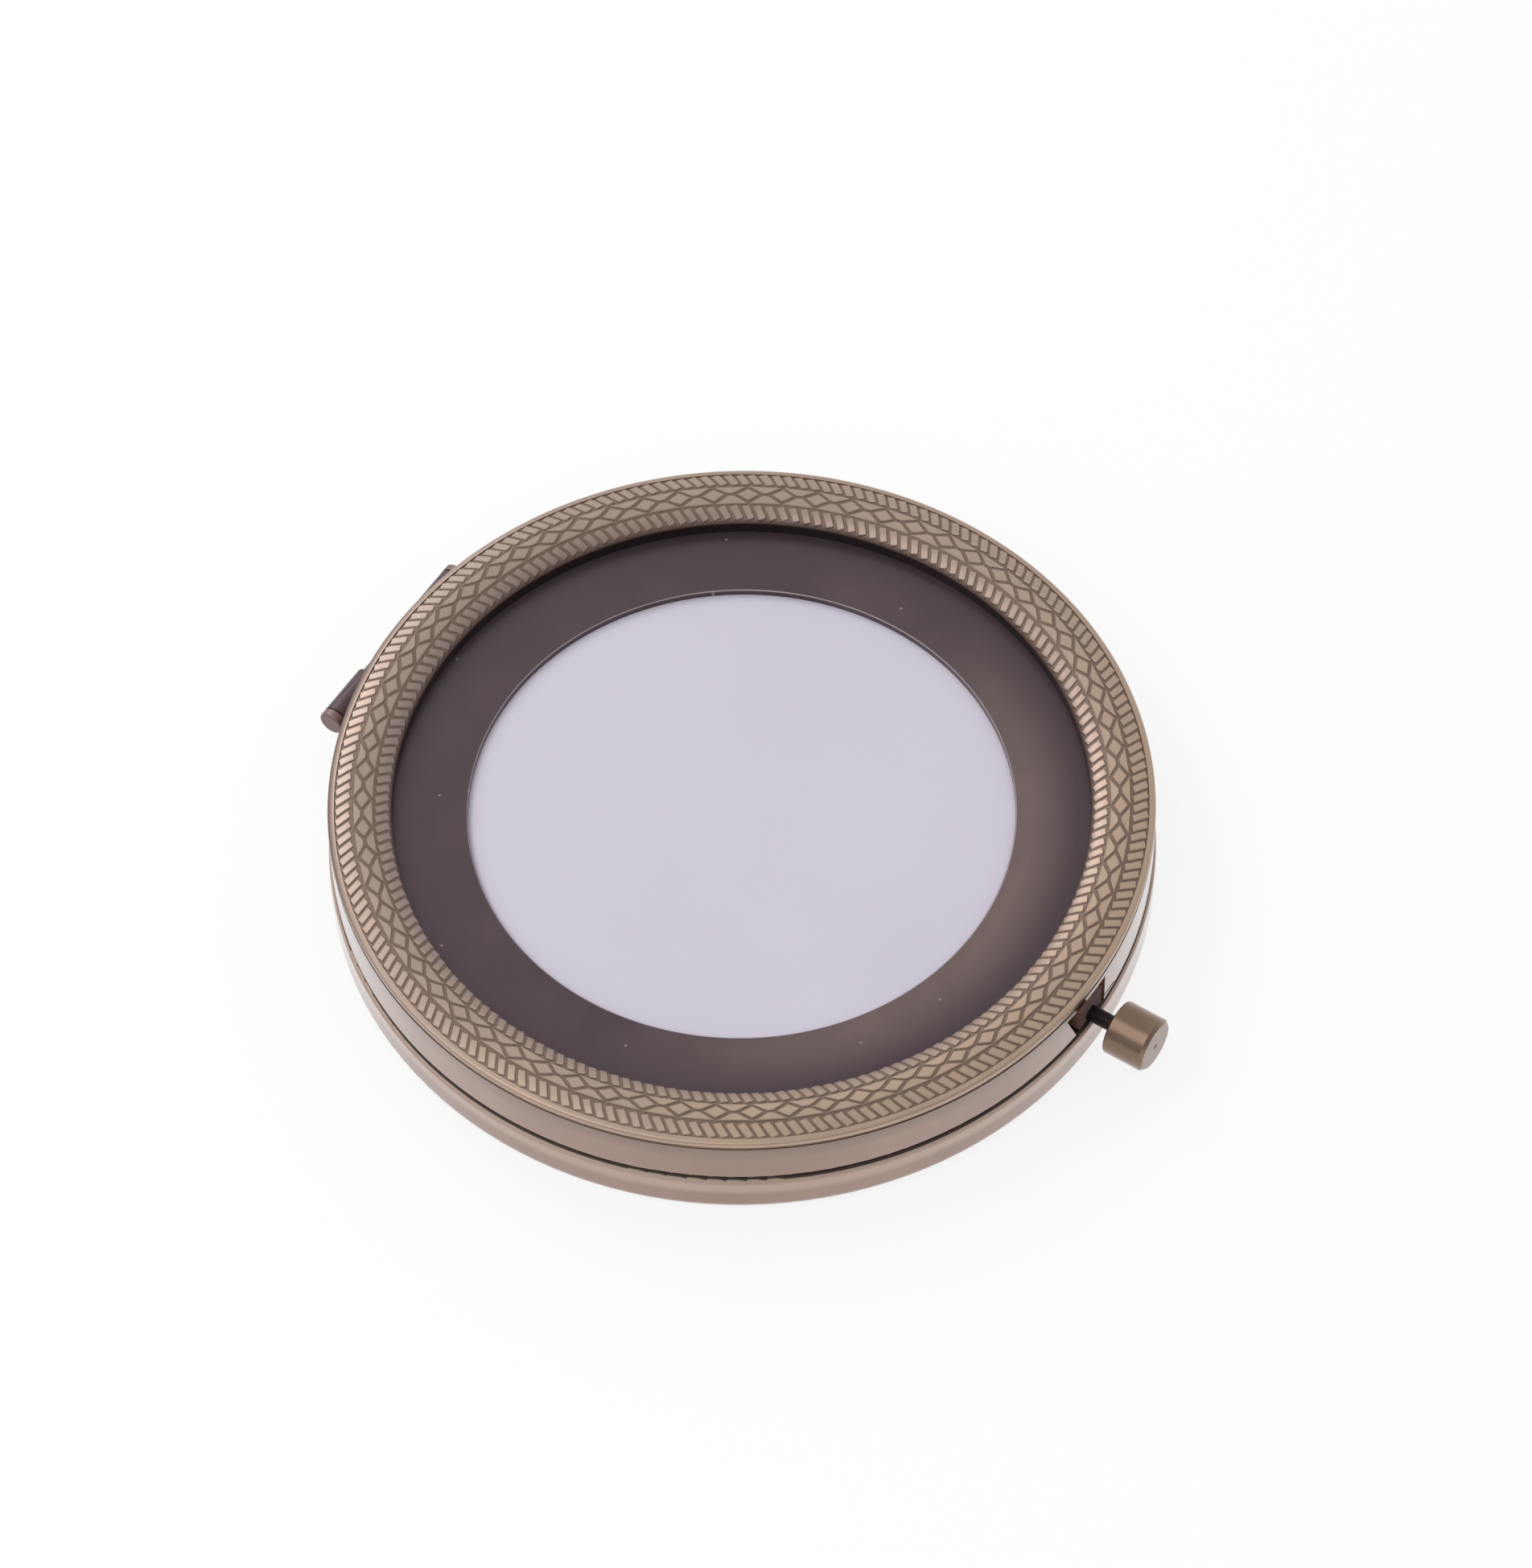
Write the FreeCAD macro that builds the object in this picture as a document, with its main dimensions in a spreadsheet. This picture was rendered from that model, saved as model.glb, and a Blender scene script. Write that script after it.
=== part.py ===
"""A round folding compact mirror: a base and a lid on a barrel hinge, closed by a push-button latch.

Millimetres. +Z is up, the origin is the middle of the base's flat underside, the hinge is at +Y
and the push button at -Y.
"""
import FreeCAD, Part
import os
import types
import Sketcher

doc = FreeCAD.newDocument("compact_mirror")

# Driving dimensions
SIZES = [
    ("case_radius", 35.0, "outer radius of the closed case"),
    ("seam_gap", 0.2, "gap between base and lid when closed"),
    ("overrun", 1.0, "how far a cut runs past what it cuts"),

    ("base_height", 4.2, "height of the base's wall"),
    ("base_floor", 0.8, "thickness of the base's floor"),
    ("base_overhang", 0.2, "how far the base stands out beyond the lid's band"),
    ("base_wall", 1.1, "thickness of the base's wall"),
    ("base_edge_round", 0.95, "round of the base's lower edge"),
    ("base_shoulder_round", 0.6, "round of the base's upper outer edge"),
    ("base_rim_round", 0.15, "round of the base's upper inner edge"),

    ("band_height", 4.3, "height of the lid's side band"),
    ("band_wall", 1.2, "thickness of the lid's side band"),
    ("band_edge_round", 0.3, "round of the band's lower outer edge"),
    ("tray_ledge", 0.4, "width of the step that the tray sits on"),

    ("ring_fit", 0.05, "radial fit of the ring and the tray in the band"),
    ("ring_skirt", 1.0, "how far the ring reaches down inside the band"),
    ("ring_wall", 0.9, "thickness of the ring's two legs"),
    ("ring_hollow", 0.8, "depth of the hollow under the ring"),
    ("ring_width", 5.4, "width of the ring, from the case's outside to the recess"),
    ("recess_depth", 1.6, "depth of the recess in the lid"),
    ("crown_rise", 0.5, "rise of the ring's crown over its edges"),
    ("rim_rise", 0.85, "height of the plain rim over the band"),
    ("rim_width", 0.4, "width of the plain rim"),
    ("rim_round", 0.3, "round of the plain rim's outer edge"),
    ("shadow_depth", 0.35, "depth of the dark line under the plain rim"),
    ("shadow_height", 0.5, "height of the dark line under the plain rim"),
    ("recess_edge_round", 0.4, "round of the ring's inner edge"),

    ("tray_thickness", 0.6, "thickness of the tray"),
    ("tray_show", 6.4, "width of the tray between the recess's wall and the window"),
    ("window_bevel", 0.1, "bevel of the window's upper edge"),
    ("disc_overlap", 3.0, "how far the backing disc reaches under the tray"),
    ("disc_thickness", 0.5, "thickness of the backing disc and of the lid's tape"),
    ("tape_clearance", 0.3, "gap between the backing disc and the tape round it"),
    ("tape_setback", 0.4, "how far the lid's tape stays inside its mirror's edge"),
    ("pad_setback", 1.0, "how far the base's adhesive pad stays inside its mirror's edge"),
    ("pad_thickness", 0.3, "thickness of the base's adhesive pad"),

    ("mirror_thickness", 1.7, "thickness of both mirrors"),
    ("mirror_bevel", 0.2, "ground edge of the mirrors"),
    ("mirror_clearance", 0.3, "gap between a mirror's edge and its frame"),
    ("frame_lip", 0.8, "how far a frame reaches over its mirror"),
    ("frame_plate", 0.45, "thickness of a frame's flat ring"),
    ("frame_skirt", 0.9, "thickness of a frame's wall"),
    ("frame_clearance", 0.3, "gap between a frame and the case's wall"),
    ("bay_half", 4.8, "half width of the frames' cut-out for the latch"),
    ("bay_clearance", 0.25, "gap between a frame's wall and its cut-out"),
    ("bay_setback", 0.15, "gap between the cut-out and the latch's guide"),

    ("hinge_offset", 1.0, "how far the hinge's axis lies outside the case"),
    ("barrel_radius", 1.15, "radius of the base's knuckles and of the pin's head"),
    ("lid_barrel_radius", 0.85, "radius of the lid's knuckle, which stays behind the rim"),
    ("barrel_clearance", 0.15, "gap between the knuckles and the scoop in the case"),
    ("lid_knuckle_length", 7.6, "length of the lid's knuckle"),
    ("base_knuckle_length", 4.9, "length of each of the base's knuckles"),
    ("knuckle_gap", 0.12, "gap between neighbouring pieces on the pin"),
    ("web_reach", 2.0, "how far a knuckle's foot reaches into the case's curve"),
    ("pin_radius", 0.45, "radius of the hinge's pin"),
    ("pin_clearance", 0.05, "running clearance round the pin"),
    ("pin_head_length", 0.75, "length of the pin's head and of its cap"),
    ("pin_head_round", 0.25, "round of the pin's head and of its cap"),
    ("cap_fit", 0.02, "radial fit of the cap on the pin"),

    ("button_travel", 0.9, "how far the push button moves in"),
    ("knob_radius", 2.4, "radius of the knob"),
    ("knob_length", 3.75, "length of the knob"),
    ("knob_standoff", 2.4, "gap between the case and the knob"),
    ("knob_bevel", 0.3, "bevel of the knob's outer edge"),
    ("knob_round", 0.15, "round of the knob's inner edge"),
    ("dimple_radius", 0.3, "radius of the dimple in the knob's end"),
    ("dimple_depth", 0.2, "depth of the dimple in the knob's end"),
    ("stem_radius", 0.7, "radius of the stem"),
    ("stem_grip", 1.6, "how far the stem goes into the knob"),
    ("stem_fit", 0.02, "fit of the stem in the knob and in the latch"),
    ("stem_clearance", 0.1, "gap between the stem and the base's rim"),
    ("spigot_radius", 0.45, "radius of the stem's end in the latch"),

    ("notch_top_reach", 3.75, "reach of the band's notch to the left at its top"),
    ("notch_low_reach", 2.3, "reach of the band's notch to the left at the seam"),
    ("notch_bridge", 0.55, "height of the band above its notch"),
    ("notch_clearance", 0.25, "gap between the latch's block and the notch's right side"),
    ("slot_length", 1.85, "length of the thin slot beside the notch"),
    ("slot_height", 0.25, "height of the thin slot beside the notch"),
    ("slot_near_rise", 0.75, "height of the slot over the band's lower edge where it leaves the notch"),
    ("slot_far_rise", 0.4, "height of the slot over the band's lower edge at its end"),

    ("latch_setback", 0.6, "gap between the band and the latch"),
    ("latch_thickness", 0.6, "thickness of the latch"),
    ("block_half", 1.7, "half width of the latch's neck and of the block on it"),
    ("block_setback", 0.2, "how far the block stays inside the case's outside"),
    ("block_clearance", 0.3, "gap above the base's rim and below the tray"),
    ("ear_half", 4.0, "half width across the latch's ears"),
    ("ear_height", 0.6, "height of the latch's ears"),
    ("heel_half", 2.7, "half width of the latch's lower end"),
    ("heel_height", 1.7, "height of the latch's lower end"),
    ("foot_reach", 1.0, "length of the latch's sliding foot"),
    ("sliding_clearance", 0.1, "gap under the latch's foot and over the keeper"),

    ("keeper_thickness", 0.6, "thickness of the keeper"),
    ("keeper_half", 5.4, "half width of the keeper"),
    ("keeper_bar", 0.8, "width of the keeper's rear bar"),
    ("keeper_catch", 0.45, "how far the ears reach over the keeper"),
    ("neck_clearance", 0.3, "gap beside the latch's neck in the keeper"),
    ("ear_clearance", 0.5, "gap beside the ears in the keeper"),
    ("press_clearance", 0.2, "gap behind the latch when it is pressed in"),

    ("guide_clearance", 0.25, "gap between the latch and its guide"),
    ("guide_cheek", 0.55, "thickness of the guide's cheeks"),
    ("guide_height", 1.8, "height of the guide"),
    ("guide_bridge", 0.5, "thickness of the guide's bridge"),
    ("tunnel_clearance", 0.15, "gap between the latch's foot and the bridge over it"),

    ("spring_room", 1.5, "room for the bow spring, from latch to bridge"),
    ("spring_clearance", 0.05, "gap at the bow spring's crown and at its ends"),
    ("spring_radius", 3.3, "radius of the bow spring"),
    ("spring_thickness", 0.2, "thickness of the bow spring"),
    ("spring_height", 0.75, "height of the bow spring"),
]


class Measure:
    """A length that keeps its value together with the sheet expression that gives it."""

    def __init__(self, text, value):
        self.text = text
        self.value = value

    def __add__(self, other):
        return Measure(f"({self.text} + {other.text})", self.value + other.value)

    def __sub__(self, other):
        return Measure(f"({self.text} - {other.text})", self.value - other.value)

    def __mul__(self, other):
        return Measure(f"({self.text} * {other.text})", self.value * other.value)

    def __truediv__(self, other):
        return Measure(f"({self.text} / {other.text})", self.value / other.value)

    def __neg__(self):
        return Measure(f"(-{self.text})", -self.value)


ZERO = Measure("0", 0)
TWO = Measure("2", 2)
FOUR = Measure("4", 4)

sheet = doc.addObject("Spreadsheet::Sheet", "sizes")
size = types.SimpleNamespace()
for row, (alias, number, meaning) in enumerate(SIZES, start=1):
    sheet.set(f"A{row}", meaning)
    sheet.set(f"B{row}", str(number))
    sheet.setAlias(f"B{row}", alias)
    setattr(size, alias, Measure(f"sizes.{alias}", number))
doc.recompute()

# Heights, from the underside of the base upwards
pad_top = size.base_floor + size.pad_thickness
base_mirror_top = pad_top + size.mirror_thickness
seam_height = size.base_height + size.seam_gap / TWO
band_bottom = size.base_height + size.seam_gap
band_top = band_bottom + size.band_height
tray_top = band_top - size.ring_skirt
tray_bottom = tray_top - size.tray_thickness
lid_mirror_back = tray_bottom - size.disc_thickness
lid_mirror_face = lid_mirror_back - size.mirror_thickness
stem_height = size.base_height + size.stem_clearance + size.stem_radius
ear_top = tray_bottom - size.block_clearance
ear_bottom = ear_top - size.ear_height
keeper_top = ear_bottom - size.sliding_clearance
keeper_bottom = keeper_top - size.keeper_thickness
foot_bottom = size.base_floor + size.sliding_clearance
foot_top = foot_bottom + size.latch_thickness
heel_top = foot_bottom + size.heel_height
tunnel_top = foot_top + size.tunnel_clearance
spring_bottom = tunnel_top + size.sliding_clearance

# Radii of the case, the ring, the tray and the backing disc
base_outside = size.case_radius + size.base_overhang
base_inside = base_outside - size.base_wall
band_inside = size.case_radius - size.band_wall
band_upper_inside = band_inside + size.tray_ledge
tray_outside = band_upper_inside - size.ring_fit
recess_radius = size.case_radius - size.ring_width
shadow_radius = size.case_radius - size.shadow_depth
window_radius = recess_radius - size.tray_show
disc_radius = window_radius + size.disc_overlap
scoop_radius = size.barrel_radius + size.barrel_clearance

# Distances from the middle towards the button, and from the middle towards the hinge
latch_front = band_inside - size.latch_setback
latch_back = latch_front - size.latch_thickness
block_front = size.case_radius - size.block_setback
catch_edge = latch_front - size.keeper_catch
keeper_slot_end = latch_back - size.button_travel - size.press_clearance
bridge_front = latch_back - size.spring_room
bridge_back = bridge_front - size.guide_bridge
guide_inside_half = size.heel_half + size.guide_clearance
guide_outside_half = guide_inside_half + size.guide_cheek
knob_inner_end = size.case_radius + size.knob_standoff
knob_outer_end = knob_inner_end + size.knob_length
stem_end = knob_inner_end + size.stem_grip
hinge_distance = size.case_radius + size.hinge_offset
past_case = size.case_radius + size.overrun
above_lid = band_top + size.overrun

# Radii of the mirrors and their frames, which end where the latch begins
bay_edge = bridge_back - size.bay_setback
frame_wall_outside = bay_edge - size.bay_clearance
frame_wall_inside = frame_wall_outside - size.frame_skirt
mirror_radius = frame_wall_inside - size.mirror_clearance
frame_lip_inside = mirror_radius - size.frame_lip

# Distances along the hinge from its middle
lid_knuckle_end = size.lid_knuckle_length / TWO
base_knuckle_start = lid_knuckle_end + size.knuckle_gap
base_knuckle_end = base_knuckle_start + size.base_knuckle_length
pin_head_start = base_knuckle_end + size.knuckle_gap
pin_head_end = pin_head_start + size.pin_head_length
past_hinge = pin_head_end + size.overrun

FULL_TURN = 360
UP = FreeCAD.Vector(0, 0, 1)
DOWN = FreeCAD.Vector(0, 0, -1)
ALONG_PIN = FreeCAD.Vector(1, 0, 0)
NO_TURN = FreeCAD.Rotation()
Z_TO_BUTTON = FreeCAD.Rotation(FreeCAD.Vector(1, 0, 0), 90)
X_TO_BUTTON = FreeCAD.Rotation(FreeCAD.Vector(0, 0, 1), -90)
Z_TO_PIN = FreeCAD.Rotation(FreeCAD.Vector(0, 1, 0), 90)


def place(piece, x=ZERO, y=ZERO, z=ZERO, turn=NO_TURN):
    """Turns a piece and binds its place to the sheet."""
    piece.Placement = FreeCAD.Placement(FreeCAD.Vector(), turn)
    for axis, measure in (("x", x), ("y", y), ("z", z)):
        piece.setExpression(f"Placement.Base.{axis}", measure.text)
    return piece


def new_body(label):
    body = doc.addObject("PartDesign::Body", label)
    body.Label = label
    return body


def new_sketch(body, name, plane):
    sketch = body.newObject("Sketcher::SketchObject", f"{body.Name}_{name}")
    flat = [feature for feature in body.Origin.OriginFeatures if feature.Role == plane][0]
    sketch.AttachmentSupport = [(flat, "")]
    sketch.MapMode = "FlatFace"
    return sketch


def bind(sketch, constraint, expression):
    index = sketch.addConstraint(constraint)
    sketch.setExpression(f"Constraints[{index}]", expression)


def bind_point(sketch, line, end, across, up):
    """Holds one end of a line, or a circle's middle, at a place on the sketch."""
    bind(sketch, Sketcher.Constraint("DistanceX", -1, 1, line, end, across.value), across.text)
    bind(sketch, Sketcher.Constraint("DistanceY", -1, 1, line, end, up.value), up.text)


def outline(body, name, plane, corners, crowned_line=None, crown_rise=None):
    """A closed outline through corners, given across and up, anticlockwise.

    One of its lines may be crowned: an arc that rises over its chord.
    """
    sketch = new_sketch(body, name, plane)
    points = [FreeCAD.Vector(across.value, up.value, 0) for across, up in corners]
    following = points[1:] + points[:1]
    for index, (start, end) in enumerate(zip(points, following)):
        if index == crowned_line:
            chord = end - start
            outward = FreeCAD.Vector(chord.y, -chord.x, 0).normalize()
            crest = (start + end) / 2 + outward * crown_rise.value
            sketch.addGeometry(Part.Arc(start, crest, end))
        else:
            sketch.addGeometry(Part.LineSegment(start, end))
    for index in range(len(corners)):
        following_index = (index + 1) % len(corners)
        sketch.addConstraint(Sketcher.Constraint("Coincident", index, 2, following_index, 1))
    for index, (across, up) in enumerate(corners):
        bind_point(sketch, index, 1, across, up)
    if crowned_line is not None:
        (across, up), (next_across, next_up) = corners[crowned_line], corners[crowned_line + 1]
        width = across - next_across
        height = up - next_up
        chord_squared = width * width + height * height
        radius = (chord_squared / FOUR + crown_rise * crown_rise) / (TWO * crown_rise)
        bind(sketch, Sketcher.Constraint("Radius", crowned_line, radius.value), radius.text)
    return sketch


def rectangle(body, name, plane, left, right, low, high):
    return outline(body, name, plane, [(left, low), (right, low), (right, high), (left, high)])


def circle(body, name, plane, across, up, radius):
    sketch = new_sketch(body, name, plane)
    middle = FreeCAD.Vector(across.value, up.value, 0)
    sketch.addGeometry(Part.Circle(middle, UP, radius.value))
    bind_point(sketch, 0, 3, across, up)
    bind(sketch, Sketcher.Constraint("Radius", 0, radius.value), radius.text)
    return sketch


def revolve(body, sketch, axis="V_Axis"):
    turned = body.newObject("PartDesign::Revolution", f"{sketch.Name}_turned")
    turned.Profile = (sketch, [""])
    turned.ReferenceAxis = (sketch, [axis])
    turned.Angle = FULL_TURN
    doc.recompute()
    return turned


def extrude(body, kind, sketch, length, symmetric=False, backwards=False):
    """A Pad or a Pocket of a sketch."""
    feature = body.newObject(f"PartDesign::{kind}", f"{sketch.Name}_{kind.lower()}")
    feature.Profile = (sketch, [""])
    feature.SideType = "Symmetric" if symmetric else "One side"
    feature.Reversed = backwards
    feature.setExpression("Length", length.text)
    doc.recompute()
    return feature


def cut_into(body, sketch, length, symmetric=False, backwards=False):
    """A Pocket that has to take something away."""
    volume = body.Shape.Volume
    feature = extrude(body, "Pocket", sketch, length, symmetric, backwards)
    if not body.Shape.Volume < volume:
        raise RuntimeError(f"{sketch.Name} cuts nothing")
    return feature


def round_off(body, radius, direction, amount):
    """Rounds the body's circular edge of a radius, the one that lies furthest in a direction."""
    last = body.Tip
    found = []
    for index, edge in enumerate(last.Shape.Edges, start=1):
        if isinstance(edge.Curve, Part.Circle) and abs(edge.Curve.Radius / radius.value - 1) < 1e-6:
            found.append((edge.Curve.Center.dot(direction), f"Edge{index}"))
    rounded = body.newObject("PartDesign::Fillet", f"{last.Name}_fillet")
    rounded.Base = (last, [max(found)[1]])
    rounded.setExpression("Radius", amount.text)
    doc.recompute()


def box(name, x_low, x_high, y_low, y_high, z_low, z_high):
    block = doc.addObject("Part::Box", name)
    block.setExpression("Length", (x_high - x_low).text)
    block.setExpression("Width", (y_high - y_low).text)
    block.setExpression("Height", (z_high - z_low).text)
    return place(block, x_low, y_low, z_low)


def cylinder(name, radius, height, x=ZERO, y=ZERO, z=ZERO, turn=NO_TURN):
    bar = doc.addObject("Part::Cylinder", name)
    bar.setExpression("Radius", radius.text)
    bar.setExpression("Height", height.text)
    return place(bar, x, y, z, turn)


def combine(kind, name, base, tool):
    """A Cut, Fuse or Common of two solids."""
    result = doc.addObject(f"Part::{kind}", name)
    result.Base = base
    result.Tool = tool
    return result


def scoop_for_hinge(body):
    """The hollow in the case's wall that the hinge's barrel lies in."""
    sketch = circle(body, "scoop", "YZ_Plane", hinge_distance, seam_height, scoop_radius)
    extrude(body, "Pocket", sketch, past_hinge * TWO, symmetric=True)


def latch_bay(body):
    """The cut-out in a mirror's frame that the latch stands in."""
    sketch = rectangle(body, "bay", "XY_Plane", -size.bay_half, size.bay_half, -past_case, -bay_edge)
    cut_into(body, sketch, above_lid * TWO, symmetric=True)


def base_shell():
    """The round pan, with its lower edge and its shoulder rounded."""
    body = new_body("base_shell")
    profile = outline(body, "profile", "XZ_Plane", [
        (ZERO, ZERO),
        (base_outside, ZERO),
        (base_outside, size.base_height),
        (base_inside, size.base_height),
        (base_inside, size.base_floor),
        (ZERO, size.base_floor),
    ])
    revolve(body, profile)
    round_off(body, base_outside, DOWN, size.base_edge_round)
    round_off(body, base_outside, UP, size.base_shoulder_round)
    round_off(body, base_inside, UP, size.base_rim_round)
    scoop_for_hinge(body)


def lid_band():
    """The lid's plain side, with a step for the tray and the notch for the latch."""
    body = new_body("lid_band")
    profile = outline(body, "profile", "XZ_Plane", [
        (band_inside, band_bottom),
        (size.case_radius, band_bottom),
        (size.case_radius, band_top),
        (band_upper_inside, band_top),
        (band_upper_inside, tray_bottom),
        (band_inside, tray_bottom),
    ])
    revolve(body, profile)
    round_off(body, size.case_radius, DOWN, size.band_edge_round)
    scoop_for_hinge(body)
    below_band = band_bottom - size.overrun
    notch_top = band_top - size.notch_bridge
    flank_slope = (size.notch_top_reach - size.notch_low_reach) / (notch_top - band_bottom)
    notch_right = size.block_half + size.notch_clearance
    slot_end = notch_right + size.slot_length
    slot_near = band_bottom + size.slot_near_rise
    slot_far = band_bottom + size.slot_far_rise
    notch = outline(body, "notch", "XZ_Plane", [
        (-size.notch_low_reach + flank_slope * size.overrun, below_band),
        (notch_right, below_band),
        (notch_right, slot_near),
        (slot_end, slot_far),
        (slot_end, slot_far + size.slot_height),
        (notch_right, slot_near + size.slot_height),
        (notch_right, notch_top),
        (-size.notch_top_reach, notch_top),
    ])
    cut_into(body, notch, past_case, backwards=True)


def lid_ring():
    """The crowned ring, hollow underneath, with a plain rim outside and the recess inside."""
    body = new_body("lid_ring")
    rim_height = size.ring_skirt + size.rim_rise
    profile = outline(body, "profile", "XZ_Plane", [
        (recess_radius, ZERO),
        (recess_radius + size.ring_wall, ZERO),
        (recess_radius + size.ring_wall, size.ring_hollow),
        (tray_outside - size.ring_wall, size.ring_hollow),
        (tray_outside - size.ring_wall, ZERO),
        (tray_outside, ZERO),
        (tray_outside, size.ring_skirt),
        (shadow_radius, size.ring_skirt),
        (shadow_radius, size.ring_skirt + size.shadow_height),
        (size.case_radius, size.ring_skirt + size.shadow_height),
        (size.case_radius, rim_height),
        (size.case_radius - size.rim_width, rim_height),
        (recess_radius, size.recess_depth),
    ], crowned_line=11, crown_rise=size.crown_rise)
    revolve(body, profile)
    round_off(body, size.case_radius, UP, size.rim_round)
    round_off(body, recess_radius, UP, size.recess_edge_round)
    place(body, z=tray_top)


def lid_tray():
    """The recessed plate with the round window."""
    body = new_body("lid_tray")
    profile = outline(body, "profile", "XZ_Plane", [
        (window_radius, ZERO),
        (tray_outside, ZERO),
        (tray_outside, size.tray_thickness),
        (window_radius + size.window_bevel, size.tray_thickness),
        (window_radius, size.tray_thickness - size.window_bevel),
    ])
    revolve(body, profile)
    place(body, z=tray_bottom)


def backing_disc():
    """The pale disc under the window."""
    cylinder("backing_disc", disc_radius, size.disc_thickness, z=lid_mirror_back)


def mirror_tapes():
    """A ring of tape round the backing disc, and a round pad on the base's floor."""
    hole_radius = disc_radius + size.tape_clearance
    ring = cylinder("tape_disc", mirror_radius - size.tape_setback, size.disc_thickness, z=lid_mirror_back)
    hole = cylinder("tape_hole", hole_radius, above_lid)
    combine("Cut", "lid_mirror_tape", ring, hole)
    cylinder("base_mirror_tape", mirror_radius - size.pad_setback, size.pad_thickness, z=size.base_floor)


def mirror_glass(label, height):
    """A round mirror with both edges ground."""
    body = new_body(label)
    flat_radius = mirror_radius - size.mirror_bevel
    profile = outline(body, "profile", "XZ_Plane", [
        (ZERO, ZERO),
        (flat_radius, ZERO),
        (mirror_radius, size.mirror_bevel),
        (mirror_radius, size.mirror_thickness - size.mirror_bevel),
        (flat_radius, size.mirror_thickness),
        (ZERO, size.mirror_thickness),
    ])
    revolve(body, profile)
    place(body, z=height)


def base_mirror_frame():
    """The ring round the base's mirror, with a lip over the glass."""
    body = new_body("base_mirror_frame")
    plate_outside = base_inside - size.frame_clearance
    plate_top = base_mirror_top + size.frame_plate
    profile = outline(body, "profile", "XZ_Plane", [
        (frame_wall_inside, size.base_floor),
        (frame_wall_outside, size.base_floor),
        (frame_wall_outside, base_mirror_top),
        (plate_outside, base_mirror_top),
        (plate_outside, plate_top),
        (frame_lip_inside, plate_top),
        (frame_lip_inside, base_mirror_top),
        (frame_wall_inside, base_mirror_top),
    ])
    revolve(body, profile)
    latch_bay(body)


def lid_mirror_frame():
    """The same ring in the lid, turned over."""
    body = new_body("lid_mirror_frame")
    plate_outside = band_inside - size.frame_clearance
    plate_bottom = lid_mirror_face - size.frame_plate
    profile = outline(body, "profile", "XZ_Plane", [
        (frame_lip_inside, plate_bottom),
        (plate_outside, plate_bottom),
        (plate_outside, lid_mirror_face),
        (frame_wall_outside, lid_mirror_face),
        (frame_wall_outside, tray_bottom),
        (frame_wall_inside, tray_bottom),
        (frame_wall_inside, lid_mirror_face),
        (frame_lip_inside, lid_mirror_face),
    ])
    revolve(body, profile)
    latch_bay(body)


def lid_keeper():
    """The slotted plate in the lid: narrow where the ears catch, wide where they come free."""
    disc = cylinder("keeper_disc", band_inside, size.keeper_thickness, z=keeper_bottom)
    rear_edge = -(keeper_slot_end - size.keeper_bar)
    strip = box("keeper_strip", -size.keeper_half, size.keeper_half, -past_case, rear_edge,
                band_bottom, band_top)
    neck_half = size.block_half + size.neck_clearance
    neck_slot = box("keeper_neck_slot", -neck_half, neck_half, -past_case, -keeper_slot_end,
                    band_bottom, band_top)
    free_half = size.ear_half + size.ear_clearance
    ear_slot = box("keeper_ear_slot", -free_half, free_half, -catch_edge, -keeper_slot_end,
                   band_bottom, band_top)
    plate = combine("Common", "keeper_plate", disc, strip)
    combine("Cut", "lid_keeper", plate, combine("Fuse", "keeper_slots", neck_slot, ear_slot))


def hinge_knuckles():
    """Three tubes on one axis, each with a foot that fits the curve of the case."""
    lid_side = cylinder("hinge_lid_side", size.case_radius, above_lid, z=seam_height)
    base_side = cylinder("hinge_base_side", base_outside, seam_height)
    case_sides = combine("Fuse", "hinge_case_sides", lid_side, base_side)
    scoop = cylinder("hinge_scoop", scoop_radius, past_hinge * TWO,
                     x=-past_hinge, y=hinge_distance, z=seam_height, turn=Z_TO_PIN)
    wall = combine("Cut", "hinge_wall", case_sides, scoop)
    bore = cylinder("hinge_bore", size.pin_radius + size.pin_clearance, past_hinge * TWO,
                    x=-past_hinge, y=hinge_distance, z=seam_height, turn=Z_TO_PIN)
    base_low = seam_height - size.barrel_radius
    lid_high = seam_height + size.lid_barrel_radius
    knuckles = [
        ("lid_knuckle", size.lid_barrel_radius, -lid_knuckle_end, lid_knuckle_end, band_bottom, lid_high),
        ("base_knuckle_left", size.barrel_radius, -base_knuckle_end, -base_knuckle_start,
         base_low, size.base_height),
        ("base_knuckle_right", size.barrel_radius, base_knuckle_start, base_knuckle_end,
         base_low, size.base_height),
    ]
    for label, radius, left, right, foot_low, foot_high in knuckles:
        barrel = cylinder(f"{label}_barrel", radius, right - left,
                          x=left, y=hinge_distance, z=seam_height, turn=Z_TO_PIN)
        foot = box(f"{label}_foot", left, right, size.case_radius - size.web_reach, hinge_distance,
                   foot_low, foot_high)
        lug = combine("Fuse", f"{label}_lug", barrel, foot)
        fitted = combine("Cut", f"{label}_fitted", lug, wall)
        combine("Cut", label, fitted, bore)


def hinge_pin():
    """The pin, with a head at its left end."""
    body = new_body("hinge_pin")
    profile = outline(body, "profile", "XZ_Plane", [
        (-pin_head_end, ZERO),
        (pin_head_end, ZERO),
        (pin_head_end, size.pin_radius),
        (-pin_head_start, size.pin_radius),
        (-pin_head_start, size.barrel_radius),
        (-pin_head_end, size.barrel_radius),
    ])
    revolve(body, profile, "H_Axis")
    round_off(body, size.barrel_radius, -ALONG_PIN, size.pin_head_round)
    place(body, y=hinge_distance, z=seam_height)


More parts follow.
